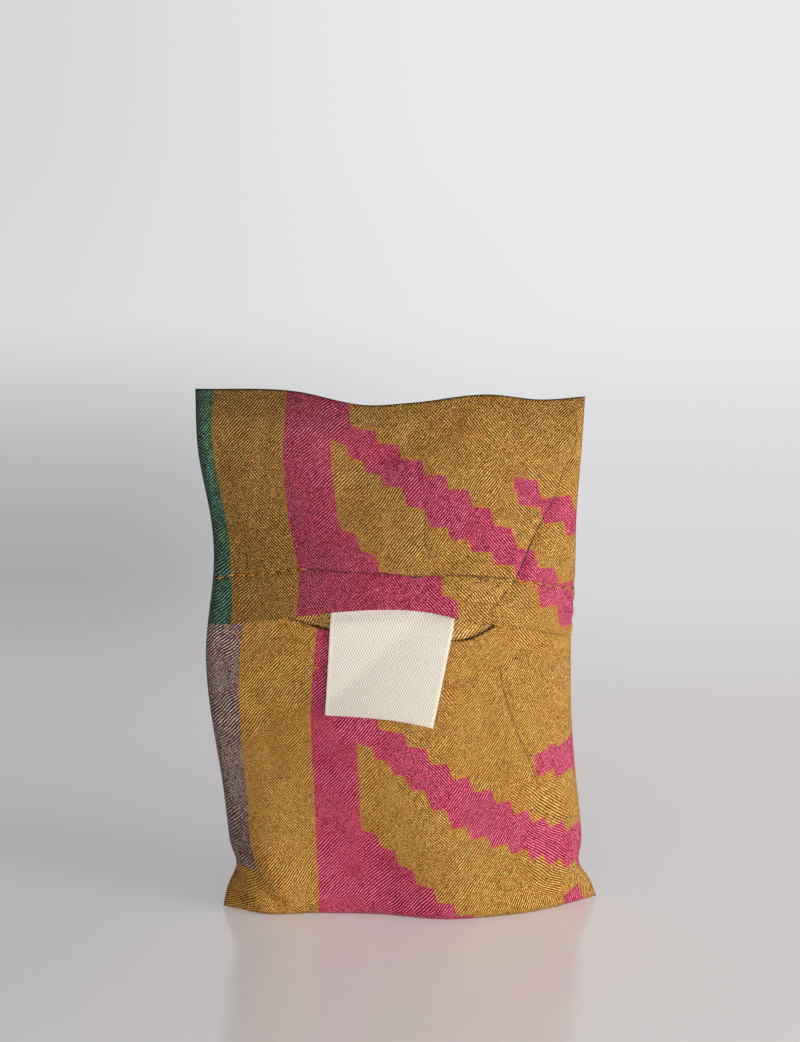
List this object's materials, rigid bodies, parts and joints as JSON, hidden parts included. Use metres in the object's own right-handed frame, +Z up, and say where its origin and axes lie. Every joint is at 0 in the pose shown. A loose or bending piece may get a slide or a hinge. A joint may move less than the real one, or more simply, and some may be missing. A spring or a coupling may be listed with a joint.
{
  "type": "reusable shopping bag",
  "caption": "Foldaway cloth shopping bag, folded up inside its own sewn envelope pouch with a flap over the mouth and a tape label; stands on its flat base.",
  "frame": {"origin": "on the floor, under the middle of the part's bounding box", "axes": "+Z up, +X to the right seen from the front, +Y from the front with the flap and the label to the back"},
  "size_m": [0.1336, 0.0412, 0.1784],
  "materials": {
    "sari_cloth": "satin weave",
    "label_tape": "matt twill"
  },
  "bodies": {
    "root": {"pouch": "sari_cloth", "label": "label_tape", "bag_body": "sari_cloth", "handle_front": "sari_cloth", "handle_back": "sari_cloth"}
  },
  "joints": []
}
